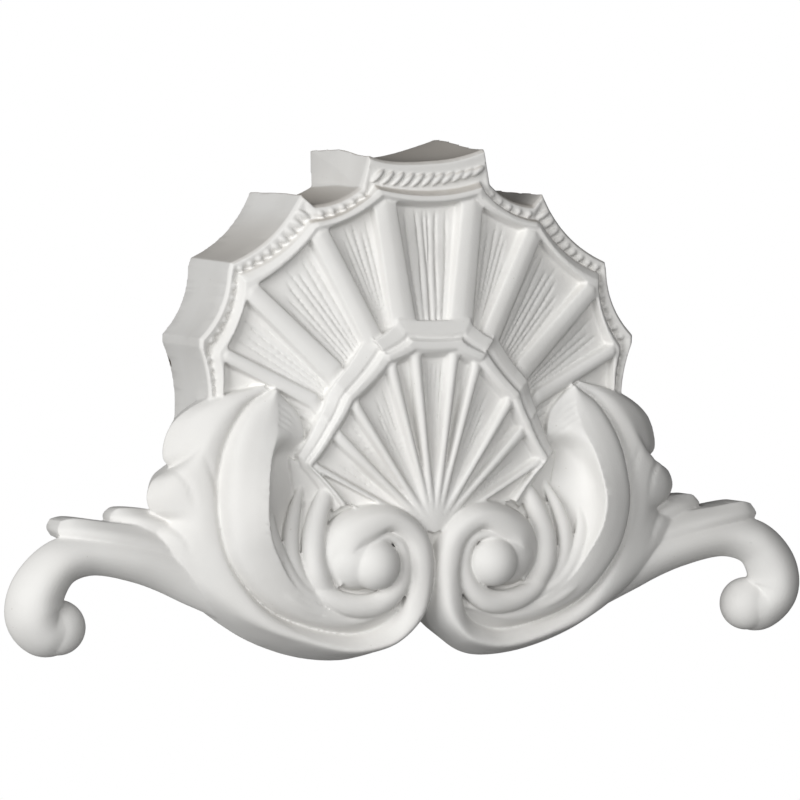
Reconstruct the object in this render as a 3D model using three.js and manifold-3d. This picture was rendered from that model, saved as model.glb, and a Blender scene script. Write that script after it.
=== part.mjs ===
// A shell-and-scroll onlay: one cast piece, in millimetres, +Z up.
// The flat back lies on the wall plane y = 0 and the relief grows towards -Y.
// Points are written [x, z, out], where out is the distance from the wall plane.
// Every form is drawn for the right-hand half, x > 0, and mirrored.
import * as THREE from "three";
import { mergeVertices } from "three/addons/utils/BufferGeometryUtils.js";
import Module from "manifold-3d";

const wasm = await Module();
wasm.setup();

// Driving sizes
const FOOT_Z = -12; // the shell block ends below on this level
const STEP = 38; // the scrollwork's flat back stands this far off the wall
const PANEL_DEPTH = 5.5; // fan panels below their ribs, at the outer end
const PANEL_DEPTH_INNER = 2.5; // and at the inner end
const PANEL_END = 0.97; // the share of a panel's length at which its floor ends
const WALL_WIDTH = 1.4; // slope between a rib and its panel
const RIB_CROWN = 0.8; // roundness of a rib
const LINE_HALF = 0.9; // the carved line along the middle of every panel
const LINE_DEPTH = 1.8;
const FRAME_RISE = 1.5; // smooth band round the fan, above its ribs
const GROOVE_DEPTH = 4; // sunk line between that band and the beads
const GROOVE_SHARE = 0.15; // its place between the frame and the lip
const LIP_WIDTH = 5; // rounded outermost edge
const LIP_CREST_SHARE = 0.4; // and the place of its highest line in that width
const LIP_RISE = 1.5;
const SMALL_PANEL_DEPTH = 4;
const SMALL_RIB_HALF = 2.2;
const SMALL_BACK = 55; // the small shell is rooted this deep in the big one
const BEAD_LENGTH = 4.2;
const BEAD_WIDTH = 1.6;
const BEAD_HEIGHT = 2.2;
const BEAD_LEAN = 0.85; // radians off the radial line
const BEAD_PITCH = 5.2;
const BEAD_PLACE = 0.42; // between the groove and the lip
const BALL_RADIUS = 11.5;
const BALL_CENTRE = [29, -20.5, 76];
const RING_DEPTH = 5;
const FINGER_DEPTH = 5.5;
const WELL_FLOOR = 70; // the sunk floor inside the volute
const WELL_RADIUS = 21;

// How far each edge bows inwards between two cusps, as a share of the gap
const FAN_BOW = 0.05;
const FRAME_BOW = 0.08;
const LIP_BOW = 0.1;
const SMALL_BOW = 0.03;

// Where a form swells between two rails: the share of the way across, and the rise there
const SMALL_RIM_PROFILE = [[0, 0], [0.12, 2], [0.34, 2.6], [0.46, -0.4], [0.6, 0.8], [1, 0]];
const FLANK_SWELL = [0.5, 1];
const GROOVE_BANK = [0.35, 1.5];
const EDGE_ROLL = [0.6, 3];

// How far a leaf's flat back draws in from its edge, as a share of its breadth
const LEAF_TUCK = 0.2;
const ARM_LEAF_TUCK = 0.15;

// Fineness of the mesh
const RAIL_STEPS = 12;
const LOBE_STEPS = 20;
const SLIM_STEPS = 7;
const BALL_SIDES = 12;
const BEAD_SIDES = 4;
const ARM_SIDES = 10;
const SLIM_SIDES = 6;
const SMOOTHED_AWAY = 0.33; // corners flatter than this are dropped
const CENTRE_COLUMN = 4; // the middle of the columns that acrossGap gives for one gap

// The big shell: the ends of its ribs from the top to the foot, and half the width of each
const FAN_HUB = [0, FOOT_Z, 60];
const FAN_INNER = [
  [14, 88, 75], [29.5, 83, 74], [47.5, 67.5, 71], [56, 54, 68], [60, 34, 65], [62, FOOT_Z, 60],
];
const FAN_OUTER = [
  [22, 145, 70], [53.5, 130.5, 69], [85.5, 104.5, 65], [97, 75, 63], [98, 47, 61], [88, FOOT_Z, 59],
];
const RIB_HALVES = [5.6, 4.4, 4.4, 2.8, 3, 3];

// Its edges: the two ends of every scallop, the first of which spans the centre line
const FRAME_EDGE = [
  [[-25.5, 150.2, 72], [25.5, 150.2, 72]], [[28.5, 146.5, 71], [54, 134.5, 69]],
  [[56.5, 133.5, 68], [88.5, 110.5, 62]], [[88.5, 106, 61.5], [100.5, 77, 60]],
  [[100.5, 73, 60], [102, 36, 58]], [[101, 30, 58], [91, FOOT_Z, 57]],
];
const LIP_FRONT = [
  [[-28.5, 168, 66], [28.5, 168, 66]], [[32, 152, 64], [54, 142, 63]], [[59.5, 147.5, 62], [92.5, 116, 59.5]],
  [[93.5, 112, 59], [107, 82, 59]], [[107, 78, 58.5], [107.5, 27, 56]], [[107, 23, 55], [98, FOOT_Z, 53]],
];
const LIP_BACK = [
  [[-31.5, 168, 0], [31.5, 168, 0]], [[31, 151, 0], [56, 146, 0]], [[61.5, 148.5, 0], [90.5, 118, 0]],
  [[92, 114, 0], [104.5, 83, 0]], [[104.5, 79, 0], [103.5, 25, 0]], [[102.5, 22, 0], [98, FOOT_Z, 0]],
];

// The small shell in front of it, whose rim folds over itself at each cusp
const SMALL_HUB = [0, -7, 77];
const SMALL_OUTER = [
  [9.7, 75.5, 78], [21.5, 70.5, 77], [39, 53, 75], [46.5, 39, 72], [57, 24, 69], [41, 7, 71],
];
const SMALL_RIM = [
  [[-18, 90.5, 76], [18, 90.5, 76]], [[19, 87.5, 76], [29.5, 80.5, 77]], [[31, 84, 73], [47, 62, 74]],
  [[50, 56, 71], [53, 48, 72]], [[53, 48, 71], [63, 29, 68]], [[61, 24, 66], [46, 3, 68]],
];

// The tall leaf beside the shell, with the hollow under its ridge and the rounded flank outside it
const BLADE_FOOT = [
  [71, 57, 66], [62, 47, 67], [60, 37, 67], [61.5, 30, 62], [61.5, 20, 61], [61, 8, 61], [60, -4, 61],
  [57, -16, 61], [50, -28, 63], [34, -37, 66], [15, -35, 68],
];
const BLADE_HOLLOW = [
  [72, 58, 67], [67.5, 47, 69], [68, 38, 70.5], [73, 29, 64.5], [78, 20, 67], [79.5, 8, 70], [78.5, -4, 72],
  [74, -15, 72], [62.5, -30, 70], [37, -42, 70], [14.5, -37, 71],
];
const BLADE_RIDGE = [
  [73, 59, 68], [73.5, 47, 71], [76, 37, 75], [79, 29, 78], [81, 20, 81], [82.5, 8, 84], [81.5, -4, 83],
  [77, -15, 80], [65, -32, 76], [38, -44.5, 73], [14, -39.5, 73],
];
const BLADE_FLANK = [
  [74, 59, 67], [84, 50, 69], [91, 38.5, 72], [94.5, 29, 74], [96.5, 18, 76], [97.5, 8, 77], [96, -4, 77],
  [91.5, -18, 75], [74, -38, 72.5], [40, -49, 71], [15.5, -42, 72],
];
const LEAF_GROOVE = [
  [75, 59, 62], [86, 52, 63], [94, 40.5, 64], [98.5, 29.5, 65], [100.5, 18, 66], [101, 7, 67], [99.5, -6, 67],
  [94.5, -20.5, 66], [76, -41, 65], [40, -52.5, 66],
];
const BLADE_END = [19, -50, 68];
const BLADE_OVERLAP = 0.1; // the blade runs on under the outer leaf by this share of that leaf's half
const BLADE_SUNK = 1;

// The outer leaf, whose lobed edge runs on as the stem's lower edge
const LEAF_CREST = [
  [77, 60, 64], [91, 54, 66], [101, 43, 66.5], [107.5, 31, 67], [110.5, 18, 67.5], [110.5, 5, 68],
  [107.5, -9, 68.5], [101, -23, 69], [80, -46.5, 71], [60, -55, 72.5], [40, -59.5, 74],
];
const LEAF_EDGE = [
  [78, 61, 60], [102, 55, 56], [117, 45, 53], [121.5, 36, 52], [122, 28, 52], [119, 23.5, 52], [122, 22, 53],
  [128, 18, 54], [130.5, 11, 54], [128, 4, 53], [123, 0, 52], [126, -0.5, 53], [132.5, -3, 54],
  [134.5, -9, 53],
  [128, -19, 52], [112, -34, 50], [95, -47, 48], [79, -56.5, 47], [58, -64, 46], [40, -66.5, 46],
];

// The volute: the stem's end, which rises beside the centre line, turns over the top and closes on a ball
const BAND_INNER = [
  [27, -51, 68], [18.5, -46, 71], [13.5, -36, 77], [11.5, -22, 79], [15, -11, 79.5],
  [23, -5, 80.5], [31, -9, 81], [38, -13.5, 81], [40, -20, 80], [39, -26, 78],
];
const BAND_CREST = [
  [29, -59, 75], [17, -55, 77], [6.5, -42, 80], [5, -22, 82], [9, -7, 82.5],
  [20, 1.5, 82.5], [34, 0.5, 82], [45, -7, 80], [48, -19, 77], [43, -28, 75],
];
const BAND_OUTER = [
  [28, -65.5, 47], [16, -60, 52], [2, -47, 62], [-0.6, -22, 73], [4, -5, 73],
  [19, 6.5, 70], [35, 6, 69], [49.5, -3, 69], [53, -19, 69], [46, -31, 71],
];
const SHOULDER_CENTRE = [36.5, -17.5, 68];
const SHOULDER_RADII = [16, 15, 14.5];
const RING_SPINE = [
  [56, -8, 67], [58.5, -19, 70], [53, -32, 72], [41, -38.5, 73], [27, -38.5, 74],
  [17.3, -31, 75], [14.6, -20, 76], [18, -10.5, 78], [25, -8, 79], [31, -10.5, 80],
];
const RING_WIDTH = [1, 2.6, 4.2, 5.2, 5.4, 4.6, 3.4, 2.4, 1.8, 1];

// The small lobed leaf between the volute and the tall leaf: a bed and four fingers lying on it
const SMALL_LEAF_BED = [
  [[44, 15, 62], [47, 4, 64], [50, -10, 66], [50, -22, 67], [46, -32, 68], [34, -38, 68], [18, -38, 68]],
  [[52, 13, 63], [60, 3, 66], [64, -8, 68], [64, -20, 69], [58, -31, 70], [44, -39, 69], [22, -42, 69]],
  [[56, 12, 60], [67, 2, 61], [75, -7, 62], [76, -20, 63], [68, -33, 65], [52, -42, 67], [24, -45, 67]],
];
const SMALL_LEAF_FINGERS = [
  [
    [[45, 18, 64], [50, 10, 67], [54.5, 0, 69], [57, -12, 71], [56, -23, 72], [50, -33, 71], [36, -39, 69]],
    [1.5, 4, 5, 5.5, 5.5, 4.5, 3],
  ],
  [
    [[60, 15, 63], [64.5, 4, 67], [67.5, -8, 69.5], [66.5, -20, 71], [60, -30, 71.5], [46, -37, 70]],
    [1.2, 3, 3.8, 3.8, 3.2, 2.4],
  ],
  [
    [[76, 3, 67], [76, -8, 70.5], [72, -20, 72.5], [63.5, -31, 72.5], [48, -39.5, 71]],
    [1.2, 3.2, 3.8, 3.3, 2.4],
  ],
  [[[82, -17, 69], [78, -25, 72], [69, -34, 72.5], [57, -41, 71.5], [42, -44, 70]], [1, 3.2, 3.4, 3, 2.4]],
];

// The arm with its hooked knob, and the two slim leaves along it
const ARM_SPINE = [
  [90, -39, 52], [112, -25, 52], [136, -16, 54], [158, -13.5, 55], [173, -18, 56],
  [182, -30, 55], [182.5, -40, 53], [177.5, -46, 51], [171, -46.5, 50],
];
const ARM_WIDTH = [8, 11.5, 11, 10, 11, 13, 14, 13.5, 12.5];
const ARM_DEPTH = [8, 11.5, 11.5, 11, 12, 13, 14, 13.5, 12.5];
const ARM_CREST = 1.5;
const ARM_LEAVES = [
  [
    [[108, -10, 50], [128, -3, 56], [150, 0.5, 58], [166, 2.5, 57], [171, 1.5, 55]],
    [[106, -17, 58], [128, -9.5, 63], [150, -5, 64], [166, -3, 61], [173, -3, 57]],
    [[102, -28, 60], [124, -20, 62], [148, -13, 62], [164, -8.5, 60], [170.5, -7.5, 57]],
  ],
  [
    [[102, -4, 44], [120, 3.5, 47], [134, 6, 50], [142.5, 6, 50], [145, 4.5, 49]],
    [[102, -10, 54], [120, -2, 58], [134, 1, 57], [143, 1.5, 53], [146.5, 2, 50]],
    [[98, -18, 60], [116, -10, 60], [132, -6, 57], [142, -2.5, 52], [145.5, -1, 50]],
  ],
];

// Material behind the volutes that joins the two halves
const CORE_LOW = [[-50, -56, 58], [-24, -54, 60], [0, -38, 66], [24, -54, 60], [50, -56, 58]];
const CORE_HIGH = [[-66, 28, 64], [-30, 11, 71], [0, -2, 75], [30, 11, 71], [66, 28, 64]];

const mix = (a, b, t) => a.map((v, i) => v + (b[i] - v) * t);
const raised = ([x, z, out], rise) => [x, z, out + rise];
const mirrored = ([x, z, out]) => [-x, z, out];
const placed = ([x, z, out]) => [x, -out, z];

const curveThrough = (points) =>
  new THREE.CatmullRomCurve3(points.map((p) => new THREE.Vector3(...p)), false, "centripetal");

// A smooth rail through a few points, cut into steps.
function rail(points, steps = RAIL_STEPS) {
  return curveThrough(points).getPoints(steps).map((v) => v.toArray());
}

// One rail through two tables, each cut into its own number of steps however many points it has.
function joinedRail(first, second) {
  const curve = curveThrough([...first, ...second]);
  const last = first.length - 1;
  const turns = [];
  for (let n = 0; n < LOBE_STEPS; n++) turns.push((last * n) / LOBE_STEPS);
  for (let n = 0; n <= RAIL_STEPS; n++) turns.push(last + (second.length * n) / RAIL_STEPS);
  return turns.map((turn) => curve.getPoint(turn / (last + second.length)).toArray());
}

// The rail that lies a share of the way from one rail to the next, raised or sunk.
function rib(from, to, [share, rise]) {
  return from.map((p, i) => raised(mix(p, to[i], share), rise));
}

// A manifold solid from loose corners: those that coincide are merged and empty triangles dropped.
function solid(vertices, index) {
  const geometry = new THREE.BufferGeometry();
  geometry.setAttribute("position", new THREE.Float32BufferAttribute(vertices, 3));
  geometry.setIndex(index);
  const merged = mergeVertices(geometry, 1e-3);
  const corners = [];
  for (let i = 0; i < merged.index.count; i += 3) {
    const [a, b, c] = merged.index.array.slice(i, i + 3);
    if (a !== b && b !== c && c !== a) corners.push(a, b, c);
  }
  const made = (triVerts) =>
    new wasm.Manifold(
      new wasm.Mesh({
        numProp: 3,
        vertProperties: merged.attributes.position.array,
        triVerts: new Uint32Array(triVerts),
      }),
    );
  const first = made(corners);
  return first.volume() > 0 ? first : made(corners.reverse());
}

// A closed solid between a grid of front points and a grid of back points.
function between(front, back) {
  const rows = front.length;
  const columns = front[0].length;
  const index = [];
  const at = (side, i, j) => (side * rows + i) * columns + j;
  const quad = (a, b, c, d) => index.push(a, b, c, a, c, d);
  for (let i = 0; i + 1 < rows; i++) {
    for (let j = 0; j + 1 < columns; j++) {
      quad(at(0, i, j), at(0, i, j + 1), at(0, i + 1, j + 1), at(0, i + 1, j));
      quad(at(1, i, j), at(1, i + 1, j), at(1, i + 1, j + 1), at(1, i, j + 1));
    }
    quad(at(0, i, 0), at(0, i + 1, 0), at(1, i + 1, 0), at(1, i, 0));
    quad(at(0, i + 1, columns - 1), at(0, i, columns - 1), at(1, i, columns - 1), at(1, i + 1, columns - 1));
  }
  for (let j = 0; j + 1 < columns; j++) {
    quad(at(0, 0, j + 1), at(0, 0, j), at(1, 0, j), at(1, 0, j + 1));
    quad(at(0, rows - 1, j), at(0, rows - 1, j + 1), at(1, rows - 1, j + 1), at(1, rows - 1, j));
  }
  return solid([...front.flat(), ...back.flat()].flatMap(placed), index);
}

// A form carved in relief: the surface through its rails, carried back to a flat.
// A tuck draws that flat in towards the first rail.
function relief(rails, back, tuck = 0) {
  const behind = (p, i) => [...mix(p, rails[0][i], tuck).slice(0, 2), back];
  return between(rails, rails.map((row) => row.map(behind)));
}

// A rounded limb along a spine, closed to a point at both ends.
// A crest over 1 makes its front and back sharper.
function limb(spine, widths, depths, { sides, steps = RAIL_STEPS, crest = 1 }) {
  const line = rail(spine, steps);
  const sizes = rail(widths.map((wide, i) => [wide, depths[i], 0]), steps);
  const ring = (p, i) => {
    const ahead = line[Math.min(i + 1, steps)];
    const behind = line[Math.max(i - 1, 0)];
    const along = new THREE.Vector2(ahead[0] - behind[0], ahead[1] - behind[1]).normalize();
    const [wide, deep] = sizes[i];
    return Array.from({ length: sides }, (_, s) => {
      const turn = (2 * Math.PI * s) / sides;
      const across = wide * Math.cos(turn);
      const rise = deep * Math.sign(Math.sin(turn)) * Math.abs(Math.sin(turn)) ** crest;
      return [p[0] - along.y * across, p[1] + along.x * across, p[2] + rise];
    });
  };
  const tip = (p) => Array(sides).fill(p);
  const rings = [tip(line[0]), ...line.map(ring), tip(line[steps])];
  const index = [];
  for (let i = 0; i + 1 < rings.length; i++)
    for (let s = 0; s < sides; s++) {
      const [a, b] = [i * sides + s, i * sides + ((s + 1) % sides)];
      index.push(a, b, b + sides, a, b + sides, a + sides);
    }
  return solid(rings.flat().flatMap(placed), index);
}

const flattened = (widths, most) => widths.map((wide) => Math.min(wide, most));

const plain = (geometry) => geometry.deleteAttribute("normal").deleteAttribute("uv");

function ball([across, high, deep], sides) {
  return plain(new THREE.SphereGeometry(1, sides, Math.ceil(sides / 2))).scale(across, deep, high);
}

function well() {
  const disc = plain(new THREE.CylinderGeometry(WELL_RADIUS, WELL_RADIUS, WELL_FLOOR - STEP, BALL_SIDES));
  return disc.translate(...placed([BALL_CENTRE[0], BALL_CENTRE[1], (WELL_FLOOR + STEP) / 2]));
}

const solidOf = (geometry) => solid(geometry.attributes.position.array, [...geometry.index.array]);

const at = (geometry, centre) => solidOf(geometry.translate(...placed(centre)));

// The two ends of every gap between the ribs of a fan, the first of which spans the centre line.
const gapEnds = (ribs) => ribs.map((end, i) => [i === 0 ? mirrored(end) : ribs[i - 1], end]);

// The ends of the gaps of an edge that lies a share of the way from one edge to another.
const edgeBetween = (first, second, share, rise) =>
  first.map((gap, i) => gap.map((end, side) => raised(mix(end, second[i][side], share), rise)));

// The place a share of the way along one gap of an edge, which bows inwards there.
function scalloped(gaps, gap, share, bow) {
  const [from, to] = gaps[gap];
  const [x, z, out] = mix(from, to, share);
  const dip = 4 * share * (1 - share) * bow;
  return [x + dip * (to[1] - from[1]), z - dip * (to[0] - from[0]), out];
}

// Across one gap of a fan, from rib to rib: the share of the gap, the share of the panel's depth,
// and the rise.
function acrossGap([from, to], halves) {
  const length = Math.hypot(to[0] - from[0], to[1] - from[1]);
  const left = halves[0] / length;
  const right = 1 - halves[1] / length;
  const wall = WALL_WIDTH / length;
  const middle = (left + right) / 2;
  const line = LINE_HALF / length;
  return [
    [0, 0, RIB_CROWN],
    [left, 0, 0],
    [left + wall, 1, 0],
    [middle - line, 1, 0],
    [middle, 1, -LINE_DEPTH],
    [middle + line, 1, 0],
    [right - wall, 1, 0],
    [right, 0, 0],
    [1, 0, RIB_CROWN],
  ];
}

// Every column of a fan's right-hand half: the gap, and its place in that gap's list.
function fanColumns(gaps) {
  const columns = [];
  for (let gap = 0; gap < gaps; gap++)
    for (let n = gap === 0 ? CENTRE_COLUMN : 0; n <= 2 * CENTRE_COLUMN; n++) columns.push([gap, n]);
  return columns;
}


function bothSides(columns) {
  const others = columns.slice(1).map((column) => column.map(mirrored));
  return [...others.reverse(), ...columns];
}

// The finished edges, from the fan's inner end out to the lip
const FAN_START = gapEnds(FAN_INNER);
const FAN_END = gapEnds(FAN_OUTER);
const FRAME_CREST = edgeBetween(FAN_END, FRAME_EDGE, 0.5, FRAME_RISE);
const GROOVE = edgeBetween(FRAME_EDGE, LIP_FRONT, GROOVE_SHARE, -GROOVE_DEPTH);
const LIP_FOOT = LIP_FRONT.map((gap, i) =>
  gap.map((end, side) => {
    const inner = FRAME_EDGE[i][side];
    return mix(end, inner, Math.min(LIP_WIDTH / Math.hypot(end[0] - inner[0], end[1] - inner[1]), 0.5));
  }),
);
const LIP_CREST = edgeBetween(LIP_FRONT, LIP_FOOT, LIP_CREST_SHARE, LIP_RISE);
const SMALL_END = gapEnds(SMALL_OUTER);

function bigShell() {
  const columns = fanColumns(FAN_END.length);
  const fronts = columns.map(([gap, n]) => {
    const halves = [RIB_HALVES[Math.max(gap - 1, 0)], RIB_HALVES[gap]];
    const [startShare, sunk, rise] = acrossGap(FAN_START[gap], halves)[n];
    const [share] = acrossGap(FAN_END[gap], halves)[n];
    const inner = scalloped(FAN_START, gap, startShare, 0);
    const outer = scalloped(FAN_END, gap, share, FAN_BOW);
    return [
      FAN_HUB,
      raised(inner, rise - sunk * PANEL_DEPTH_INNER),
      raised(mix(inner, outer, PANEL_END), rise - sunk * PANEL_DEPTH),
      outer,
      scalloped(FRAME_CREST, gap, share, FRAME_BOW),
      scalloped(FRAME_EDGE, gap, share, FRAME_BOW),
      scalloped(GROOVE, gap, share, FRAME_BOW),
      scalloped(LIP_FOOT, gap, share, LIP_BOW),
      scalloped(LIP_CREST, gap, share, LIP_BOW),
      scalloped(LIP_FRONT, gap, share, LIP_BOW),
    ];
  });
  const backs = columns.map(([gap, n], c) => {
    const halves = [RIB_HALVES[Math.max(gap - 1, 0)], RIB_HALVES[gap]];
    const [share] = acrossGap(FAN_END[gap], halves)[n];
    const edge = scalloped(LIP_BACK, gap, share, LIP_BOW);
    return fronts[c].map((_, i) => mix([0, FOOT_Z, 0], edge, i / (fronts[c].length - 1)));
  });
  return between(bothSides(fronts), bothSides(backs));
}

function smallShell() {
  const fronts = fanColumns(SMALL_END.length).map(([gap, n]) => {
    const [share, sunk, rise] = acrossGap(SMALL_END[gap], [SMALL_RIB_HALF, SMALL_RIB_HALF])[n];
    const outer = scalloped(SMALL_END, gap, share, SMALL_BOW);
    const rim = scalloped(SMALL_RIM, gap, share, SMALL_BOW);
    const floor = (reach) => raised(mix(SMALL_HUB, outer, reach), (rise - sunk * SMALL_PANEL_DEPTH) * reach);
    const edge = SMALL_RIM_PROFILE.map(([across, height]) => raised(mix(outer, rim, across), height));
    return [SMALL_HUB, floor(PANEL_END / 2), floor(PANEL_END), ...edge];
  });
  return relief(bothSides(fronts), SMALL_BACK);
}

// The slanting beads between the groove and the lip, in some of the gaps.
function beads(gaps) {
  const made = [];
  for (const gap of gaps) {
    const [from, to] = LIP_FRONT[gap];
    const count = Math.round(Math.hypot(to[0] - from[0], to[1] - from[1]) / BEAD_PITCH);
    for (let n = 0; n < count; n++) {
      const low = scalloped(GROOVE, gap, (n + 0.5) / count, FRAME_BOW);
      const high = scalloped(LIP_CREST, gap, (n + 0.5) / count, LIP_BOW);
      const reach = Math.min(BEAD_LENGTH, BEAD_PLACE * Math.hypot(high[0] - low[0], high[1] - low[1]));
      const bead = ball([reach, BEAD_WIDTH, BEAD_HEIGHT], BEAD_SIDES);
      bead.rotateY(BEAD_LEAN - Math.atan2(high[1] - low[1], high[0] - low[0]));
      made.push(at(bead, mix(low, high, BEAD_PLACE)));
    }
  }
  return made;
}

// The tall leaf, the outer leaf that runs on as the stem and the volute's band, and the small lobed leaf.
function leaves() {
  const under = LEAF_GROOVE.map((p, i) => raised(mix(p, LEAF_CREST[i], BLADE_OVERLAP), -BLADE_SUNK));
  const blade = [BLADE_FOOT, BLADE_HOLLOW, BLADE_RIDGE, BLADE_FLANK, [...under, BLADE_END]];
  const [foot, hollow, ridge, flank, side] = blade.map((points) => rail(points));
  const groove = joinedRail(LEAF_GROOVE, BAND_INNER);
  const crest = joinedRail(LEAF_CREST, BAND_CREST);
  const edge = joinedRail(LEAF_EDGE, BAND_OUTER);
  const roll = rib(crest, edge, EDGE_ROLL);
  const bed = SMALL_LEAF_BED.map((points) => rail(points, SLIM_STEPS));
  const slim = { sides: SLIM_SIDES, steps: SLIM_STEPS };
  const finger = ([spine, widths]) => limb(spine, widths, flattened(widths, FINGER_DEPTH), slim);
  return [
    relief([foot, hollow, ridge, rib(ridge, flank, FLANK_SWELL), flank, side], STEP),
    relief([groove, rib(groove, crest, GROOVE_BANK), crest, roll, edge], STEP, LEAF_TUCK),
    relief(bed, STEP),
    ...SMALL_LEAF_FINGERS.map(finger),
  ];
}

function volute() {
  return [
    limb(RING_SPINE, RING_WIDTH, flattened(RING_WIDTH, RING_DEPTH), { sides: SLIM_SIDES + 2 }),
    solidOf(well()),
    at(ball([BALL_RADIUS, BALL_RADIUS, BALL_RADIUS], BALL_SIDES), BALL_CENTRE),
    at(ball(SHOULDER_RADII, BALL_SIDES), SHOULDER_CENTRE),
  ];
}

function arm() {
  const knob = ARM_WIDTH.at(-1);
  const slim = (points) => rail(points, SLIM_STEPS);
  return [
    limb(ARM_SPINE, ARM_WIDTH, ARM_DEPTH, { sides: ARM_SIDES, crest: ARM_CREST }),
    at(ball([knob, knob, knob], BALL_SIDES), ARM_SPINE.at(-1)),
    ...ARM_LEAVES.map((rails) => relief(rails.map(slim), STEP, ARM_LEAF_TUCK)),
  ];
}

const core = relief([rail(CORE_LOW, SLIM_STEPS + 1), rail(CORE_HIGH, SLIM_STEPS + 1)], STEP);
const middle = [bigShell(), smallShell(), core, ...beads([0])];
const halves = [...beads([1, 2, 3, 4]), ...leaves(), ...volute(), ...arm()];
const otherHalves = halves.map((form) => form.mirror([1, 0, 0]));
const joined = wasm.Manifold.union([...middle, ...halves, ...otherHalves]);

// The casting is solid: of the closed surfaces that the union leaves, only the outer one is kept.
const bodies = joined.simplify(SMOOTHED_AWAY).decompose();
const whole = bodies.reduce((most, body) => (body.volume() > most.volume() ? body : most));

const surface = whole.getMesh();
const geometry = new THREE.BufferGeometry();
geometry.setAttribute("position", new THREE.Float32BufferAttribute(surface.vertProperties, 3));
geometry.setIndex(new THREE.BufferAttribute(surface.triVerts, 1));
geometry.computeVertexNormals();
const white = new THREE.MeshStandardMaterial({ color: 0xe1e0dd, roughness: 0.75, metalness: 0 });
const onlay = new THREE.Mesh(geometry, white);
onlay.name = "scroll_onlay";
const object = new THREE.Group();
object.add(onlay);

export default object;
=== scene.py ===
"""A white cast onlay: a deep scallop shell, a small shell, paired volutes, leaves and hooked arms."""

import math

import bmesh
import bpy
import numpy as np
from mathutils import Matrix, Vector


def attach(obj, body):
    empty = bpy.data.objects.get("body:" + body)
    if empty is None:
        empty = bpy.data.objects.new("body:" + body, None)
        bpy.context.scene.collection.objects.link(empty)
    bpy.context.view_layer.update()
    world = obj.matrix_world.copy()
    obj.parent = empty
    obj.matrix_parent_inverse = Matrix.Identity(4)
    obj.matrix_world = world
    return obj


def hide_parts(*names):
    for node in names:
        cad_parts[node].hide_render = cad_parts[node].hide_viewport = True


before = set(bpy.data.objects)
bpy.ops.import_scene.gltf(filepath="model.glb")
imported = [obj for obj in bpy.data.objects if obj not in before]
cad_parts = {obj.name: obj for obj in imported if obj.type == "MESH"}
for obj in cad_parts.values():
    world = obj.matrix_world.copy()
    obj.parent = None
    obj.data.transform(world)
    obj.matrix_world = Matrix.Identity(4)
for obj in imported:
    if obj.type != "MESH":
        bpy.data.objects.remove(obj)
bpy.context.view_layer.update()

# Sizes are in millimetres and points are [x, z, out], where out is the distance from the wall plane.
# Every form is drawn for the right-hand half, x > 0, and mirrored.
MM = 0.001

# Driving sizes, as in the solid
FOOT_Z = -12
STEP = 38
PANEL_DEPTH = 5.5
PANEL_DEPTH_INNER = 2.5
PANEL_END = 0.97
FRAME_RISE = 1.5
FRAME_CREST_SHARE = 0.5
GROOVE_DEPTH = 4
GROOVE_SHARE = 0.15
LIP_WIDTH = 5
LIP_WIDEST_SHARE = 0.5
LIP_CREST_SHARE = 0.4
LIP_RISE = 1.5
SMALL_PANEL_DEPTH = 4
SMALL_BACK = 55
SMALL_RIB_HALF = 2.2
SMALL_HUB_RIB = 0.2
SMALL_LAST_RIB = 0.1
SMALL_LEAST_GAP = 4
SMALL_RELIEF_SETS_IN = (0.1, 0.7)
SMALL_RIM_PROFILE = [(0, 0), (0.12, 2), (0.34, 2.6), (0.46, -0.4), (0.6, 0.8), (1, 0)]
WALL_WIDTH = 1.4
RIB_CROWN = 0.8
BEAD_LENGTH = 4.2
BEAD_WIDTH = 1.6
BEAD_HEIGHT = 2.2
BEAD_LEAN = 0.85
BEAD_PITCH = 5.2
BEAD_PLACE = 0.42
BALL_RADIUS = 11.5
BALL_CENTRE = (29, -20.5, 76)
RING_DEPTH = 5
WELL_FLOOR = 70
WELL_RADIUS = 21
FLANK_SWELL = (0.5, 1)
GROOVE_BANK = (0.35, 1.5)
EDGE_ROLL = (0.6, 3)
LEAF_TUCK = 0.2
ARM_LEAF_TUCK = 0.15

# How far each edge bows inwards between two cusps, as a share of the gap
FAN_BOW = 0.05
FRAME_BOW = 0.08
LIP_BOW = 0.1
SMALL_BOW = 0.03

# The fine lines of each panel: the place across it, where along it the line starts, and its depth
LINES = [
    [
        (0.12, 0.0, 0.6), (0.27, 0.0, 0.9), (0.4, 0.0, 0.7), (0.52, 0.0, 1.0), (0.66, 0.0, 1.1),
        (0.83, 0.0, 0.8),
    ],
    [
        (0.15, 0.0, 0.8), (0.31, 0.1, 1.0), (0.46, 0.0, 1.1), (0.6, 0.0, 0.9), (0.74, 0.1, 1.0),
        (0.87, 0.3, 0.7),
    ],
    [
        (0.13, 0.0, 0.8), (0.26, 0.0, 0.9), (0.38, 0.1, 1.1), (0.51, 0.0, 0.8), (0.64, 0.1, 1.0),
        (0.77, 0.2, 0.9), (0.9, 0.3, 0.6),
    ],
    [(0.17, 0.1, 0.9), (0.36, 0.0, 1.0), (0.54, 0.1, 0.9), (0.72, 0.0, 0.9), (0.88, 0.3, 0.7)],
    [(0.25, 0.2, 0.9), (0.5, 0.1, 0.9), (0.75, 0.3, 0.8)],
]
LINE_HALF = 0.75
LINE_DEPTH = 2
LINE_RUN_IN = 0.15
LINE_CLEARANCE = 2
LINE_WANDER = 0.015
LINE_WAVES = 5
LINE_PHASE = 2.3

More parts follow.
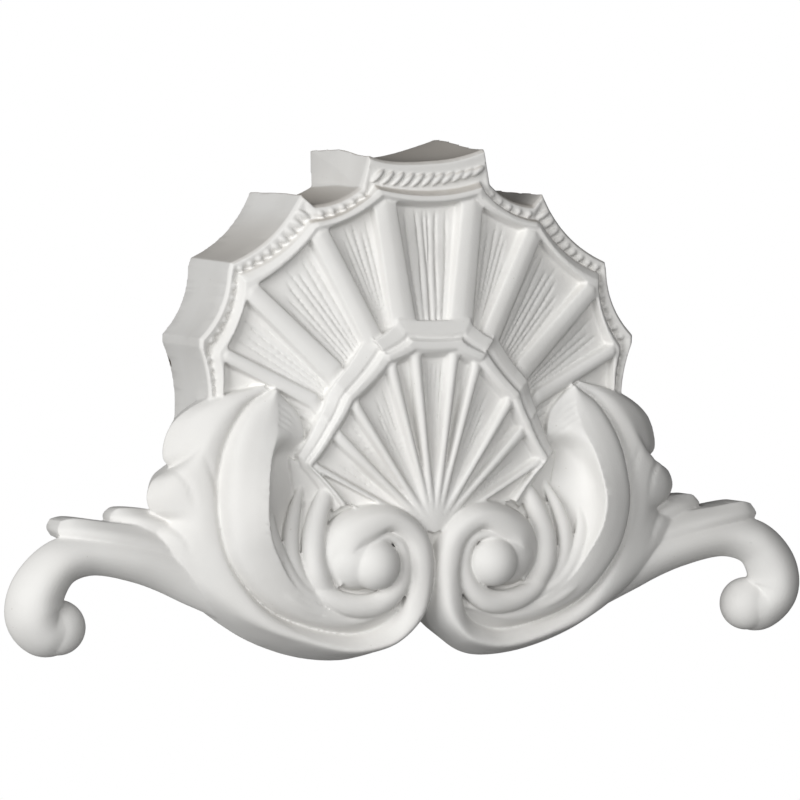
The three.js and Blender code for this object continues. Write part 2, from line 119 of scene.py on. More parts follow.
# The primer's colours, the painted shade on the upward faces and the levels between which it sets in, and the
# chips: where each is and its radius
PRIMER_STOPS = [(0.35, (0.72, 0.71, 0.688)), (0.65, (0.775, 0.768, 0.748))]
# Painted shade: the brown-grey laid on the upward faces high on the casting
TOP_SHADE = (0.42, 0.37, 0.31, 1)
TOP_SHADE_FROM = 90
TOP_SHADE_TO = 130
SPECK = (0.55, 0.52, 0.48, 1)
CHIP = (0.12, 0.1, 0.08, 1)
CHIPS = [
    ((-103.5, 42, 1), 5), ((-103, 37, 1), 4), ((-102.5, 70, 1), 3), ((-8.5, 78.5, 77.5), 1.1),
    ((32, 25, 72), 1.2),
]

# The casting's own unevenness at the top scallop, and the limits between which each part of it sets in
BACK_LIFT = 5.5
LIFT_ACROSS = (-32, 24)
LIFT_OUT = (0, 64)
FRONT_DROP = 3.5
DROP_ACROSS = (-5, 30)
DROP_OUT = (30, 64)
UNEVEN_LEVELS = (140, 166)

# Fineness of the forms and of the casting's mesh
FAN_COLUMNS = 84
SMALL_COLUMNS = 64
PANEL_ROWS = 40
BAND_ROWS = 5
SMALL_BAND_ROWS = 4
LEAF_STATIONS = 150
VOLUTE_STATIONS = 120
BLADE_STATIONS = 220
SMALL_LEAF_STATIONS = 80
ARM_LEAF_STATIONS = 70
CORE_STATIONS = 40
CREASE_STATIONS = 60
LIMB_STATIONS = 70
LIMB_SIDES = 32
ARM_STATIONS = 110
ARM_SIDES = 40
RELIEF_ROWS = 7
BLADE_ROWS = 14
MERGED_WITHIN = 1e-6
VOXEL = 0.6
SMOOTH_STEPS = 2
MOST_TRIANGLES = 195000

# The big shell: the ends of its ribs from the top to the foot, and half the width of each
FAN_HUB = (0, FOOT_Z, 60)
FAN_INNER = [(14, 88, 75), (29.5, 83, 74), (47.5, 67.5, 71), (56, 54, 68), (60, 34, 65), (62, FOOT_Z, 60)]
FAN_OUTER = [
    (22, 145, 70), (53.5, 130.5, 69), (85.5, 104.5, 65), (97, 75, 63), (98, 47, 61), (88, FOOT_Z, 59),
]
RIB_HALVES = [5.6, 4.4, 4.4, 2.8, 3, 3]

# Its edges: the two ends of every scallop, the first of which spans the centre line
FRAME_EDGE = [
    ((-25.5, 150.2, 72), (25.5, 150.2, 72)), ((28.5, 146.5, 71), (54, 134.5, 69)),
    ((56.5, 133.5, 68), (88.5, 110.5, 62)), ((88.5, 106, 61.5), (100.5, 77, 60)),
    ((100.5, 73, 60), (102, 36, 58)), ((101, 30, 58), (91, FOOT_Z, 57)),
]
LIP_FRONT = [
    ((-28.5, 168, 66), (28.5, 168, 66)), ((32, 152, 64), (54, 142, 63)),
    ((59.5, 147.5, 62), (92.5, 116, 59.5)), ((93.5, 112, 59), (107, 82, 59)),
    ((107, 78, 58.5), (107.5, 27, 56)), ((107, 23, 55), (98, FOOT_Z, 53)),
]
LIP_BACK = [
    ((-31.5, 168, 0), (31.5, 168, 0)), ((31, 151, 0), (56, 146, 0)),
    ((61.5, 148.5, 0), (90.5, 118, 0)), ((92, 114, 0), (104.5, 83, 0)),
    ((104.5, 79, 0), (103.5, 25, 0)), ((102.5, 22, 0), (98, FOOT_Z, 0)),
]

# The small shell in front of it, whose rim folds over itself at each cusp
SMALL_HUB = (0, -7, 77)
SMALL_OUTER = [(9.7, 75.5, 78), (21.5, 70.5, 77), (39, 53, 75), (46.5, 39, 72), (57, 24, 69), (41, 7, 71)]
SMALL_RIM = [
    ((-18, 90.5, 76), (18, 90.5, 76)), ((19, 87.5, 76), (29.5, 80.5, 77)), ((31, 84, 73), (47, 62, 74)),
    ((50, 56, 71), (53, 48, 72)), ((53, 48, 71), (63, 29, 68)), ((61, 24, 66), (46, 3, 68)),
]

# The tall leaf beside the shell, with the hollow under its ridge and the rounded flank outside it
BLADE_FOOT = [
    (71, 57, 66), (62, 47, 67), (60, 37, 67), (61.5, 30, 62), (61.5, 20, 61), (61, 8, 61), (60, -4, 61),
    (57, -16, 61), (50, -28, 63), (34, -37, 66), (15, -35, 68),
]
BLADE_HOLLOW = [
    (72, 58, 67), (67.5, 47, 69), (68, 38, 70.5), (73, 29, 64.5), (78, 20, 67), (79.5, 8, 70), (78.5, -4, 72),
    (74, -15, 72), (62.5, -30, 70), (37, -42, 70), (14.5, -37, 71),
]
BLADE_RIDGE = [
    (73, 59, 68), (73.5, 47, 71), (76, 37, 75), (79, 29, 78), (81, 20, 81), (82.5, 8, 84), (81.5, -4, 83),
    (77, -15, 80), (65, -32, 76), (38, -44.5, 73), (14, -39.5, 73),
]
BLADE_FLANK = [
    (74, 59, 67), (84, 50, 69), (91, 38.5, 72), (94.5, 29, 74), (96.5, 18, 76), (97.5, 8, 77), (96, -4, 77),
    (91.5, -18, 75), (74, -38, 72.5), (40, -49, 71), (15.5, -42, 72),
]
LEAF_GROOVE = [
    (75, 59, 62), (86, 52, 63), (94, 40.5, 64), (98.5, 29.5, 65), (100.5, 18, 66), (101, 7, 67),
    (99.5, -6, 67), (94.5, -20.5, 66), (76, -41, 65), (40, -52.5, 66),
]
BLADE_END = (19, -50, 68)

# The outer leaf, whose lobed edge runs on as the stem's lower edge
LEAF_CREST = [
    (77, 60, 64), (91, 54, 66), (101, 43, 66.5), (107.5, 31, 67), (110.5, 18, 67.5), (110.5, 5, 68),
    (107.5, -9, 68.5), (101, -23, 69), (80, -46.5, 71), (60, -55, 72.5), (40, -59.5, 74),
]
LEAF_EDGE = [
    (78, 61, 60), (102, 55, 56), (117, 45, 53), (121.5, 36, 52), (122, 28, 52), (119, 23.5, 52),
    (122, 22, 53), (128, 18, 54), (130.5, 11, 54), (128, 4, 53), (123, 0, 52), (126, -0.5, 53),
    (132.5, -3, 54), (134.5, -9, 53), (128, -19, 52), (112, -34, 50), (95, -47, 48), (79, -56.5, 47),
    (58, -64, 46), (40, -66.5, 46),
]
# Creases that run in from the notches of the edge, and fine strokes near the tip of the tall leaf
LEAF_CREASES = [
    [(119, 23.5), (114.5, 17), (112, 8)], [(123, 0), (117, -6), (112, -16)], [(97, -2), (102, 16), (107, 29)],
]
TIP_STROKES = [[(75, 53 - 3 * n), (68, 49 - 3 * n), (63 - n / 2, 43.5 - 3 * n)] for n in range(4)]
CREASE_DEPTH = 1.7
CREASE_HALF = 2.2
CREASE_FADE = 0.8
STROKE_DEPTH = 1.0
STROKE_HALF = 0.9

# The volute: the stem's end, which rises beside the centre line, turns over the top and closes on a ball
BAND_INNER = [
    (27, -51, 68), (18.5, -46, 71), (13.5, -36, 77), (11.5, -22, 79), (15, -11, 79.5),
    (23, -5, 80.5), (31, -9, 81), (38, -13.5, 81), (40, -20, 80), (39, -26, 78),
]
BAND_CREST = [
    (29, -59, 75), (17, -55, 77), (6.5, -42, 80), (5, -22, 82), (9, -7, 82.5),
    (20, 1.5, 82.5), (34, 0.5, 82), (45, -7, 80), (48, -19, 77), (43, -28, 75),
]
BAND_OUTER = [
    (28, -65.5, 47), (16, -60, 52), (2, -47, 62), (-0.6, -22, 73), (4, -5, 73),
    (19, 6.5, 70), (35, 6, 69), (49.5, -3, 69), (53, -19, 69), (46, -31, 71),
]
SHOULDER_CENTRE = (36.5, -17.5, 68)
SHOULDER_RADII = (16, 15, 14.5)
RING_SPINE = [
    (56, -8, 67), (58.5, -19, 70), (53, -32, 72), (41, -38.5, 73), (27, -38.5, 74),
    (17.3, -31, 75), (14.6, -20, 76), (18, -10.5, 78), (25, -8, 79), (31, -10.5, 80),
]
RING_WIDTH = [1, 2.6, 4.2, 5.2, 5.4, 4.6, 3.4, 2.4, 1.8, 1]

# The small lobed leaf between the volute and the tall leaf: a bed and four fingers lying on it
SMALL_LEAF_BED = [
    [(44, 15, 62), (47, 4, 64), (50, -10, 66), (50, -22, 67), (46, -32, 68), (34, -38, 68), (18, -38, 68)],
    [(52, 13, 63), (60, 3, 66), (64, -8, 68), (64, -20, 69), (58, -31, 70), (44, -39, 69), (22, -42, 69)],
    [(56, 12, 60), (67, 2, 61), (75, -7, 62), (76, -20, 63), (68, -33, 65), (52, -42, 67), (24, -45, 67)],
]
SMALL_LEAF_FINGERS = [
    (
        [
            (45, 18, 64), (50, 10, 67), (54.5, 0, 69), (57, -12, 71), (56, -23, 72), (50, -33, 71),
            (36, -39, 69),
        ],
        [1.5, 4, 5, 5.5, 5.5, 4.5, 3],
    ),
    (
        [(60, 15, 63), (64.5, 4, 67), (67.5, -8, 69.5), (66.5, -20, 71), (60, -30, 71.5), (46, -37, 70)],
        [1.2, 3, 3.8, 3.8, 3.2, 2.4],
    ),
    (
        [(76, 3, 67), (76, -8, 70.5), (72, -20, 72.5), (63.5, -31, 72.5), (48, -39.5, 71)],
        [1.2, 3.2, 3.8, 3.3, 2.4],
    ),
    ([(82, -17, 69), (78, -25, 72), (69, -34, 72.5), (57, -41, 71.5), (42, -44, 70)], [1, 3.2, 3.4, 3, 2.4]),
]
FINGER_DEPTH = 5.5

# The arm with its hooked knob, and the two slim leaves along it
ARM_SPINE = [
    (90, -39, 52), (112, -25, 52), (136, -16, 54), (158, -13.5, 55), (173, -18, 56),
    (182, -30, 55), (182.5, -40, 53), (177.5, -46, 51), (171, -46.5, 50),
]
ARM_WIDTH = [8, 11.5, 11, 10, 11, 13, 14, 13.5, 12.5]
ARM_DEPTH = [8, 11.5, 11.5, 11, 12, 13, 14, 13.5, 12.5]
ARM_CREST = 1.5
ARM_LEAVES = [
    [
        [(108, -10, 50), (128, -3, 56), (150, 0.5, 58), (166, 2.5, 57), (171, 1.5, 55)],
        [(106, -17, 58), (128, -9.5, 63), (150, -5, 64), (166, -3, 61), (173, -3, 57)],
        [(102, -28, 60), (124, -20, 62), (148, -13, 62), (164, -8.5, 60), (170.5, -7.5, 57)],
    ],
    [
        [(102, -4, 44), (120, 3.5, 47), (134, 6, 50), (142.5, 6, 50), (145, 4.5, 49)],
        [(102, -10, 54), (120, -2, 58), (134, 1, 57), (143, 1.5, 53), (146.5, 2, 50)],
        [(98, -18, 60), (116, -10, 60), (132, -6, 57), (142, -2.5, 52), (145.5, -1, 50)],
    ],
]

# Material behind the volutes that joins the two halves
CORE_LOW = [(-50, -56, 58), (-24, -54, 60), (0, -38, 66), (24, -54, 60), (50, -56, 58)]
CORE_HIGH = [(-66, 28, 64), (-30, 11, 71), (0, -2, 75), (30, 11, 71), (66, 28, 64)]

# The fitted camera: angles in degrees, distances in metres, focal length in pixels
CAMERA_AZIMUTH = -22.0
CAMERA_ELEVATION = 2.17
CAMERA_DISTANCE = 2.0
CAMERA_AIM = Vector((-0.0023, -0.040, 0.0523))
IMAGE_WIDTH = 800
FOCAL_PIXELS = 4331
SENSOR = 36.0

# The studio, in metres and watts
FLOOR_HALF = 0.6
FLOOR_Z = -0.9
FLOOR_COLOUR = (0.9, 0.9, 0.9, 1)
FLOOR_ROUGHNESS = 0.9
LAMPS_AIM = Vector((0, 0, 0.05))
KEY_PLACE = (-2.45, -1.4, 0.6)
KEY_SIZE = 2.0
KEY_WATTS = 71
FRONT_PLACE = (-0.5, -2.8, 0.6)
FRONT_SIZE = 1.8
FRONT_WATTS = 36
SURROUND_LIGHT = 0.045
SURROUND_SEEN = 1.0
WHITE = (1, 1, 1, 1)


def mix(a, b, share):
    return np.asarray(a, float) * (1 - share) + np.asarray(b, float) * share


def raised(point, rise):
    return np.asarray(point, float) + (0, 0, rise)


def part_way(start, end, share, rise):
    """Places a share of the way from one to the other, and raised."""
    return raised(mix(start, end, share), rise)


def spline(points, t):
    """The place t, counted in points, on the centripetal curve through them."""
    last = len(points) - 1
    i = min(int(t), last - 1)
    p = np.asarray(points, float)
    before = p[i - 1] if i > 0 else 2 * p[0] - p[1]
    after = p[i + 2] if i + 2 <= last else 2 * p[last] - p[last - 1]
    corners = (before, p[i], p[i + 1], after)
    gaps = [max(np.linalg.norm(b - a) ** 0.5, 1e-4) for a, b in zip(corners, corners[1:])]
    d0, d1, d2 = gaps
    start = ((p[i] - before) / d0 - (p[i + 1] - before) / (d0 + d1) + (p[i + 1] - p[i]) / d1) * d1
    end = ((p[i + 1] - p[i]) / d1 - (after - p[i]) / (d1 + d2) + (after - p[i + 1]) / d2) * d1
    s = t - i
    rise = p[i + 1] - p[i]
    return p[i] + start * s + (3 * rise - 2 * start - end) * s**2 + (start + end - 2 * rise) * s**3


def rail(points, stations):
    return np.array([spline(points, (len(points) - 1) * n / (stations - 1)) for n in range(stations)])


def joined(first, second):
    """One curve through two tables of points, whose stations don't depend on how many points a table has."""
    points = first + second
    last = len(first) - 1
    turns = [last * n / LEAF_STATIONS for n in range(LEAF_STATIONS)]
    turns += [last + len(second) * n / VOLUTE_STATIONS for n in range(VOLUTE_STATIONS + 1)]
    return np.array([spline(points, t) for t in turns])


def gap_ends(ribs):
    """The two ends of each gap between ribs, the first of which spans the centre line."""
    ends = [np.array(point, float) for point in ribs]
    return list(zip([ends[0] * (-1, 1, 1)] + ends, ends))


def scalloped(gaps, gap, share, bow):
    """The place a share of the way along one gap of an edge that bows inwards."""
    start, end = np.array(gaps[gap][0], float), np.array(gaps[gap][1], float)
    dip = 4 * share * (1 - share) * bow
    return mix(start, end, share) + (dip * (end[1] - start[1]), -dip * (end[0] - start[0]), 0)


def placed(point):
    x, z, out = point
    return Vector((x * MM, -out * MM, z * MM))


def slab(casting, places, back, tuck=0.0):
    """A grid laid on the given places and carried back to a flat, which may draw in to the first row."""
    flat = [[(*mix(place, first, tuck)[:2], back) for place, first in zip(row, places[0])] for row in places]
    block(casting, places, flat)


def join(casting, form):
    """Closes a form, turns its faces outwards and adds it to the casting."""
    bmesh.ops.remove_doubles(form, verts=form.verts[:], dist=MERGED_WITHIN)
    bmesh.ops.dissolve_degenerate(form, edges=form.edges[:], dist=MERGED_WITHIN)
    bmesh.ops.recalc_face_normals(form, faces=form.faces[:])
    mesh = bpy.data.meshes.new("form")
    form.to_mesh(mesh)
    form.free()
    casting.from_mesh(mesh)
    bpy.data.meshes.remove(mesh)


def carved(places, lines, depth, half):
    """Grooves along lines drawn over a grid of places, deepest where they start."""
    places = np.array(places, float)
    for line in lines:
        turns = np.linspace(0, len(line) - 1, CREASE_STATIONS)
        path = np.array([spline([(*p, 0) for p in line], t) for t in turns])[:, :2]
        away = np.linalg.norm(places[:, :, None, :2] - path, axis=3)
        nearest = away.argmin(axis=2)
        near = np.maximum(1 - away.min(axis=2) / half, 0)
        places[:, :, 2] -= depth * near * (1 - nearest / len(path) * CREASE_FADE)
    return places


def relief(casting, rails, back=STEP, between=RELIEF_ROWS, tuck=0.0, lines=(), depth=0, half=1):
    """The smooth surface across a few rails, carried back to a flat."""
    rails = np.array(rails)
    across = (len(rails) - 1) * between + 1
    places = [
        [spline(rails[:, n], (len(rails) - 1) * k / (across - 1)) for n in range(rails.shape[1])]
        for k in range(across)
    ]
    slab(casting, carved(places, lines, depth, half), back, tuck)


def limb(casting, spine, widths, depths, stations=LIMB_STATIONS, sides=LIMB_SIDES, crest=1.0):
    """A rounded limb along a spine, closed at both ends; a crest over 1 makes its front and back sharper."""
    line = rail(spine, stations)
    sizes = rail([(w, d, 0) for w, d in zip(widths, depths)], stations)
    form = bmesh.new()
    bmesh.ops.create_grid(form, x_segments=sides, y_segments=stations + 1, size=0.5)
    along = np.gradient(line[:, :2], axis=0)
    along /= np.linalg.norm(along, axis=1)[:, None]
    for vert in form.verts:
        turn = 2 * math.pi * (vert.co.x + 0.5)
        row = round((vert.co.y + 0.5) * (stations + 1))
        station = min(max(row - 1, 0), stations - 1)
        closed = row in (0, stations + 1)
        sharpened = math.copysign(abs(math.sin(turn)) ** crest, math.sin(turn))
        across = 0 if closed else sizes[station][0] * math.cos(turn)
        deep = 0 if closed else sizes[station][1] * sharpened
        x, z, out = line[station]
        vert.co = placed((x - along[station][1] * across, z + along[station][0] * across, out + deep))
    join(casting, form)


def ball(casting, centre, radii):
    form = bmesh.new()
    bmesh.ops.create_uvsphere(form, u_segments=48, v_segments=32, radius=MM)
    bmesh.ops.scale(form, verts=form.verts[:], vec=(radii[0], radii[2], radii[1]))
    bmesh.ops.translate(form, verts=form.verts[:], vec=placed(centre))
    join(casting, form)


def eased(value, start, end):
    """Rises smoothly from 0 at the start to 1 at the end."""
    share = min(max((value - start) / (end - start), 0), 1)
    return share * share * (3 - 2 * share)


def fan_relief(gap, share, reach, length, halves, depth):
    """The rise of a fan's surface between two ribs: their crowns, the sunk panel and its fine lines."""
    left = share * length - halves[0]
    right = (1 - share) * length - halves[1]
    into = min(left, right)
    if into < 0:
        half = halves[0] if left < right else halves[1]
        return RIB_CROWN * (1 - (1 + into / half) ** 2)
    rise = -depth * eased(into, 0, WALL_WIDTH)
    width = left + right
    for n, (place, start, deep) in enumerate(LINES[gap % len(LINES)]):
        wander = LINE_WANDER * math.sin(LINE_WAVES * reach + LINE_PHASE * n + gap)
        off = abs(left - (place + wander) * width)
        cut = LINE_DEPTH * deep * max(1 - off / LINE_HALF, 0)
        rise -= cut * eased(reach, start, start + LINE_RUN_IN) * eased(into, 0, LINE_CLEARANCE)
    return rise


def edges(first, second, share, rise):
    """The ends of the gaps of an edge that lies between two others."""
    return [tuple(part_way(a, b, share, rise) for a, b in zip(f, s)) for f, s in zip(first, second)]


FAN_START = gap_ends(FAN_INNER)
FAN_END = gap_ends(FAN_OUTER)
FRAME_CREST = edges(FAN_END, FRAME_EDGE, FRAME_CREST_SHARE, FRAME_RISE)
GROOVE = edges(FRAME_EDGE, LIP_FRONT, GROOVE_SHARE, -GROOVE_DEPTH)
LIP_FOOT = [
    tuple(mix(a, b, min(LIP_WIDTH / math.dist(a[:2], b[:2]), LIP_WIDEST_SHARE)) for a, b in zip(lip, edge))
    for lip, edge in zip(LIP_FRONT, FRAME_EDGE)
]
LIP_CREST = edges(LIP_FRONT, LIP_FOOT, LIP_CREST_SHARE, LIP_RISE)
SMALL_END = gap_ends(SMALL_OUTER)


def fan_places(gaps, per_gap):
    """Columns of the right-hand half, from the centre line: the gap and the share of it."""
    centre = [(0, n / per_gap) for n in range(per_gap // 2, per_gap + 1)]
    return centre + [(gap, n / per_gap) for gap in range(1, gaps) for n in range(per_gap + 1)]


def both_sides(columns):
    """Columns of the right-hand half, from the centre line, and their mirror images."""
    mirrored = [[np.asarray(p, float) * (-1, 1, 1) for p in column] for column in columns[:0:-1]]
    return mirrored + columns


def in_steps(rows, steps):
    """Places in even steps from each row to the next, and the last row."""
    between = [mix(first, second, k / steps) for first, second in zip(rows, rows[1:]) for k in range(steps)]
    return between + [rows[-1]]


def big_shell(casting):
    fronts, backs = [], []
    bands = [
        (FAN_END, FAN_BOW), (FRAME_CREST, FRAME_BOW), (FRAME_EDGE, FRAME_BOW), (GROOVE, FRAME_BOW),
        (LIP_FOOT, LIP_BOW), (LIP_CREST, LIP_BOW), (LIP_FRONT, LIP_BOW),
    ]
    halves = [RIB_HALVES[0]] + RIB_HALVES
    hub = np.array((0, FOOT_Z, 0), float)
    for gap, share in fan_places(len(FAN_OUTER), FAN_COLUMNS):
        outer = scalloped(FAN_END, gap, share, FAN_BOW)
        inner = scalloped(FAN_START, gap, share, 0)
        column = [np.array(FAN_HUB, float)]
        for step in range(PANEL_ROWS + 1):
            reach = step / PANEL_ROWS
            ends = [mix(a, b, reach) for a, b in zip(FAN_START[gap], FAN_END[gap])]
            length = math.dist(ends[0][:2], ends[1][:2])
            depth = PANEL_DEPTH_INNER + (PANEL_DEPTH - PANEL_DEPTH_INNER) * reach
            rise = fan_relief(gap, share, 1 - reach, length, halves[gap : gap + 2], depth)
            column.append(part_way(inner, outer, PANEL_END * reach, rise))
        column += in_steps([scalloped(ends, gap, share, bow) for ends, bow in bands], BAND_ROWS)
        fronts.append(column)
        edge = scalloped(LIP_BACK, gap, share, LIP_BOW)
        backs.append([mix(hub, edge, k / (len(column) - 1)) for k in range(len(column))])
    block(casting, both_sides(fronts), both_sides(backs))


def block(casting, fronts, backs):
    """A slab whose back is a flat grid of its own, so that its sides may taper."""
    rows, columns = len(fronts), len(fronts[0])
    form = bmesh.new()
    cell = form.verts.layers.int.new("cell")
    bmesh.ops.create_grid(form, x_segments=columns - 1, y_segments=rows - 1, size=0.5)
    for vert in form.verts:
        row, column = round((vert.co.y + 0.5) * (rows - 1)), round((vert.co.x + 0.5) * (columns - 1))
        vert[cell] = row * columns + column
        vert.co = placed(fronts[row][column])
    walls = bmesh.ops.extrude_face_region(form, geom=form.faces[:], use_keep_orig=True)["geom"]
    for vert in (g for g in walls if isinstance(g, bmesh.types.BMVert)):
        row, column = divmod(vert[cell], columns)
        vert.co = placed(backs[row][column])
    join(casting, form)


def small_shell(casting):
    """Its ribs and panels run together at the hub, and its last rib, at the lower edge, is hardly there."""
    fronts = []
    for gap, share in fan_places(len(SMALL_OUTER), SMALL_COLUMNS):
        outer = scalloped(SMALL_END, gap, share, SMALL_BOW)
        rim = scalloped(SMALL_RIM, gap, share, SMALL_BOW)
        column = []
        whole = math.dist(SMALL_END[gap][0][:2], SMALL_END[gap][1][:2])
        last = SMALL_LAST_RIB if gap == len(SMALL_OUTER) - 1 else 1
        for step in range(PANEL_ROWS + 1):
            reach = step / PANEL_ROWS
            half = SMALL_RIB_HALF * (SMALL_HUB_RIB + (1 - SMALL_HUB_RIB) * reach)
            length = max(whole * reach, SMALL_LEAST_GAP)
            rise = fan_relief(gap, share, 1 - reach, length, (half, half * last), SMALL_PANEL_DEPTH)
            rise *= eased(reach, *SMALL_RELIEF_SETS_IN)
            column.append(part_way(SMALL_HUB, outer, PANEL_END * reach, rise))
        rows = [part_way(outer, rim, across, rise) for across, rise in SMALL_RIM_PROFILE]
        fronts.append(column + in_steps(rows, SMALL_BAND_ROWS))
    slab(casting, both_sides(fronts), SMALL_BACK)


def beads(casting, gaps):
    """The slanting gadroons between the groove and the lip."""
    for gap in gaps:
        length = math.dist(LIP_FRONT[gap][0][:2], LIP_FRONT[gap][1][:2])
        count = round(length / BEAD_PITCH)
        for n in range(count):
            share = (n + 0.5) / count
            low = scalloped(GROOVE, gap, share, FRAME_BOW)
            high = scalloped(LIP_CREST, gap, share, LIP_BOW)
            form = bmesh.new()
            bmesh.ops.create_uvsphere(form, u_segments=16, v_segments=10, radius=MM)
            reach = min(BEAD_LENGTH, BEAD_PLACE * math.dist(low[:2], high[:2]))
            bmesh.ops.scale(form, verts=form.verts[:], vec=(reach, BEAD_HEIGHT, BEAD_WIDTH))
            lean = math.atan2(high[1] - low[1], high[0] - low[0]) - BEAD_LEAN
            bmesh.ops.rotate(form, verts=form.verts[:], matrix=Matrix.Rotation(-lean, 3, "Y"))
            bmesh.ops.translate(form, verts=form.verts[:], vec=placed(mix(low, high, BEAD_PLACE)))
            join(casting, form)


def leaves(casting):
    """The tall leaf, the outer leaf that runs on as the volute's band, and the small lobed leaf."""
    blade = (BLADE_FOOT, BLADE_HOLLOW, BLADE_RIDGE, BLADE_FLANK, LEAF_GROOVE + [BLADE_END])
    foot, hollow, ridge, flank, groove = (rail(points, BLADE_STATIONS) for points in blade)
    strokes = {"lines": TIP_STROKES, "depth": STROKE_DEPTH, "half": STROKE_HALF}
    relief(casting, [foot, hollow, ridge], between=BLADE_ROWS, **strokes)
    relief(casting, [ridge, part_way(ridge, flank, *FLANK_SWELL), flank, groove])
    groove = joined(LEAF_GROOVE, BAND_INNER)
    crest = joined(LEAF_CREST, BAND_CREST)
    edge = joined(LEAF_EDGE, BAND_OUTER)
    bank = part_way(groove, crest, *GROOVE_BANK)
    roll = part_way(crest, edge, *EDGE_ROLL)
    creases = {"lines": LEAF_CREASES, "depth": CREASE_DEPTH, "half": CREASE_HALF}
    relief(casting, [groove, bank, crest, roll, edge], tuck=LEAF_TUCK, **creases)
    relief(casting, [rail(points, SMALL_LEAF_STATIONS) for points in SMALL_LEAF_BED])
    for spine, widths in SMALL_LEAF_FINGERS:
        limb(casting, spine, widths, [min(w, FINGER_DEPTH) for w in widths])


def volute(casting):
    """The low ring and the ball inside the band, the shoulder under the band, and the well's floor."""
    limb(casting, RING_SPINE, RING_WIDTH, [min(w, RING_DEPTH) for w in RING_WIDTH])
    ball(casting, BALL_CENTRE, [BALL_RADIUS] * 3)
    ball(casting, SHOULDER_CENTRE, SHOULDER_RADII)
    form = bmesh.new()
    bmesh.ops.create_circle(form, cap_ends=True, segments=64, radius=WELL_RADIUS * MM)
    for vert in form.verts:
        vert.co = placed((BALL_CENTRE[0] + vert.co.x / MM, BALL_CENTRE[1] + vert.co.y / MM, WELL_FLOOR))
    walls = bmesh.ops.extrude_face_region(form, geom=form.faces[:], use_keep_orig=True)["geom"]
    for vert in (g for g in walls if isinstance(g, bmesh.types.BMVert)):
        vert.co.y = -STEP * MM
    join(casting, form)


def arm(casting):
    limb(casting, ARM_SPINE, ARM_WIDTH, ARM_DEPTH, ARM_STATIONS, ARM_SIDES, ARM_CREST)
    ball(casting, ARM_SPINE[-1], [ARM_WIDTH[-1]] * 3)
    for rails in ARM_LEAVES:
        relief(casting, [rail(points, ARM_LEAF_STATIONS) for points in rails], tuck=ARM_LEAF_TUCK)


def with_modifier(piece, kind, **settings):
    """Applies one modifier to a piece's mesh."""
    modifier = piece.modifiers.new(kind, kind)
    for name, value in settings.items():
        setattr(modifier, name, value)
    seen = piece.evaluated_get(bpy.context.evaluated_depsgraph_get())
    mesh = bpy.data.meshes.new_from_object(seen)
    piece.modifiers.clear()
    old, piece.data = piece.data, mesh
    bpy.data.meshes.remove(old)


def skew(mesh):
    """At the top scallop one back corner is high, and the front corner on the other side is low."""
    for vertex in mesh.vertices:
        x, z, out = vertex.co.x / MM, vertex.co.z / MM, -vertex.co.y / MM
        lift = BACK_LIFT * eased(x, *LIFT_ACROSS) * (1 - eased(out, *LIFT_OUT))
        drop = FRONT_DROP * eased(-x, *DROP_ACROSS) * eased(out, *DROP_OUT)
        vertex.co.z += MM * eased(z, *UNEVEN_LEVELS) * (lift - drop)


def cast_onlay():
    """All the forms, made one by a fine remesh, with its corners softened."""
    casting = bmesh.new()
    big_shell(casting)
    small_shell(casting)
    relief(casting, [rail(CORE_LOW, CORE_STATIONS), rail(CORE_HIGH, CORE_STATIONS)])
    beads(casting, [0])
    half = bmesh.new()
    beads(half, range(1, len(GROOVE) - 1))
    for build in (leaves, volute, arm):
        build(half)
    mesh = bpy.data.meshes.new("half")
    half.to_mesh(mesh)
    casting.from_mesh(mesh)
    bmesh.ops.scale(half, verts=half.verts[:], vec=(-1, 1, 1))
    bmesh.ops.reverse_faces(half, faces=half.faces[:])
    half.to_mesh(mesh)
    casting.from_mesh(mesh)
    half.free()
    bpy.data.meshes.remove(mesh)
    mesh = bpy.data.meshes.new("onlay")
    casting.to_mesh(mesh)
    casting.free()
    piece = bpy.data.objects.new("onlay", mesh)
    bpy.context.scene.collection.objects.link(piece)
    with_modifier(piece, "REMESH", mode="VOXEL", voxel_size=VOXEL * MM, adaptivity=0.0)
    with_modifier(piece, "SMOOTH", factor=0.5, iterations=SMOOTH_STEPS)
    skew(piece.data)
    triangles = sum(len(polygon.vertices) - 2 for polygon in piece.data.polygons)
    with_modifier(piece, "DECIMATE", ratio=min(MOST_TRIANGLES / triangles, 1))
    piece.data.shade_smooth()
    return piece


class Shade:
    """A shader socket that maths can be written on."""

    def __init__(self, tree, socket):
        self.tree, self.socket = tree, socket

    def node(self, kind, settings=None, output=0, **inputs):
        made = self.tree.nodes.new(kind)
        for name, value in (settings or {}).items():
            if name == "stops":
                for stop, (position, shade) in zip(made.color_ramp.elements, value):
                    stop.position, stop.color = position, (*shade, 1)
            else:
                setattr(made, name, value)
        for name, value in inputs.items():
            socket = made.inputs[int(name[1:]) if name[0] == "i" and name[1:].isdigit() else name]
            if isinstance(value, Shade):
                self.tree.links.new(value.socket, socket)
            else:
                socket.default_value = value
        return Shade(self.tree, made.outputs[output])

    def maths(self, operation, other, swap=False):
        first, second = (other, self) if swap else (self, other)
        return self.node("ShaderNodeMath", {"operation": operation}, i0=first, i1=second)

    def __add__(self, other):
        return self.maths("ADD", other)

    def __radd__(self, other):
        return self.maths("ADD", other, True)

    def __sub__(self, other):
        return self.maths("SUBTRACT", other)

    def __rsub__(self, other):
        return self.maths("SUBTRACT", other, True)

    def __mul__(self, other):
        return self.maths("MULTIPLY", other)

    def __rmul__(self, other):
        return self.maths("MULTIPLY", other, True)


def new_material(name):
    """A material and its shader."""
    material = bpy.data.materials.new(name)
    material.use_nodes = True
    return material, next(n for n in material.node_tree.nodes if n.type == "BSDF_PRINCIPLED")


def feed(shade, node, name):
    shade.tree.links.new(shade.socket, node.inputs[name])


def noise(place, scale, detail):
    return place.node("ShaderNodeTexNoise", Vector=place, Scale=scale, Detail=detail)


